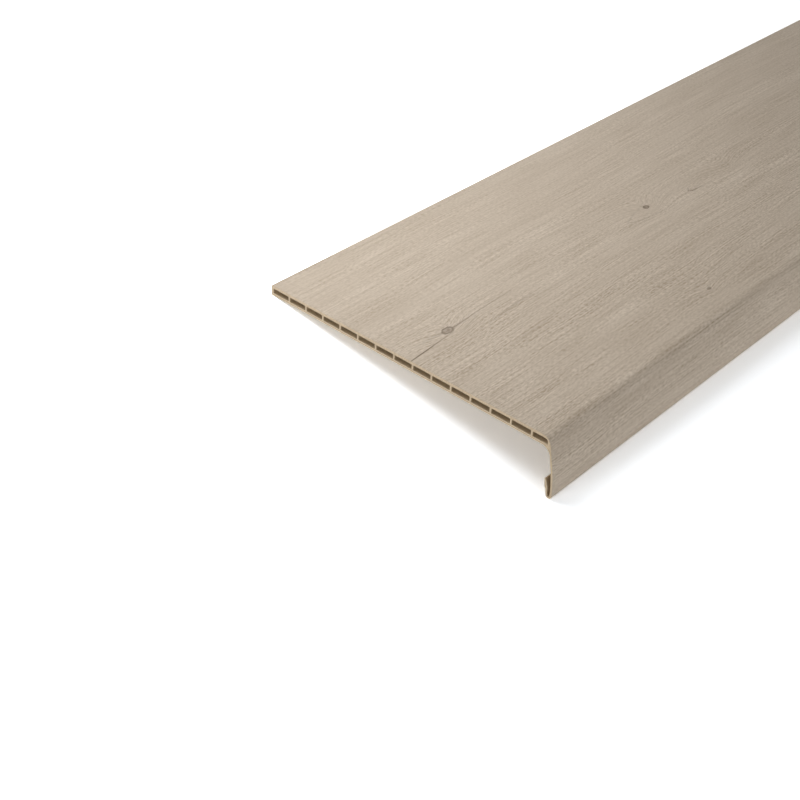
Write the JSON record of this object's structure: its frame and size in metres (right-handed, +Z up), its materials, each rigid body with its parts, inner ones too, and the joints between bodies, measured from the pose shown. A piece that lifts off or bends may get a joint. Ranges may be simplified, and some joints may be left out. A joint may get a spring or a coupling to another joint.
{
  "type": "stair tread",
  "caption": "Hollow extruded overlay stair tread with a wood-look face, a rounded drop nose and a clip channel at its foot, laid over an old step to renew it.",
  "frame": {"origin": "centre of the tread's footprint on the floor, as it lies unheld", "axes": "+X along the tread, +Y from the nose to the back edge, +Z up; the walking surface slopes down to the back, because the tread rests on its foot and its back edge"},
  "size_m": [1, 0.3044, 0.0523],
  "materials": {
    "oak_decor": "matt printed and embossed bleached-oak decor on beige extruded plastic"
  },
  "bodies": {
    "root": {"stair_tread": "oak_decor"}
  },
  "joints": []
}
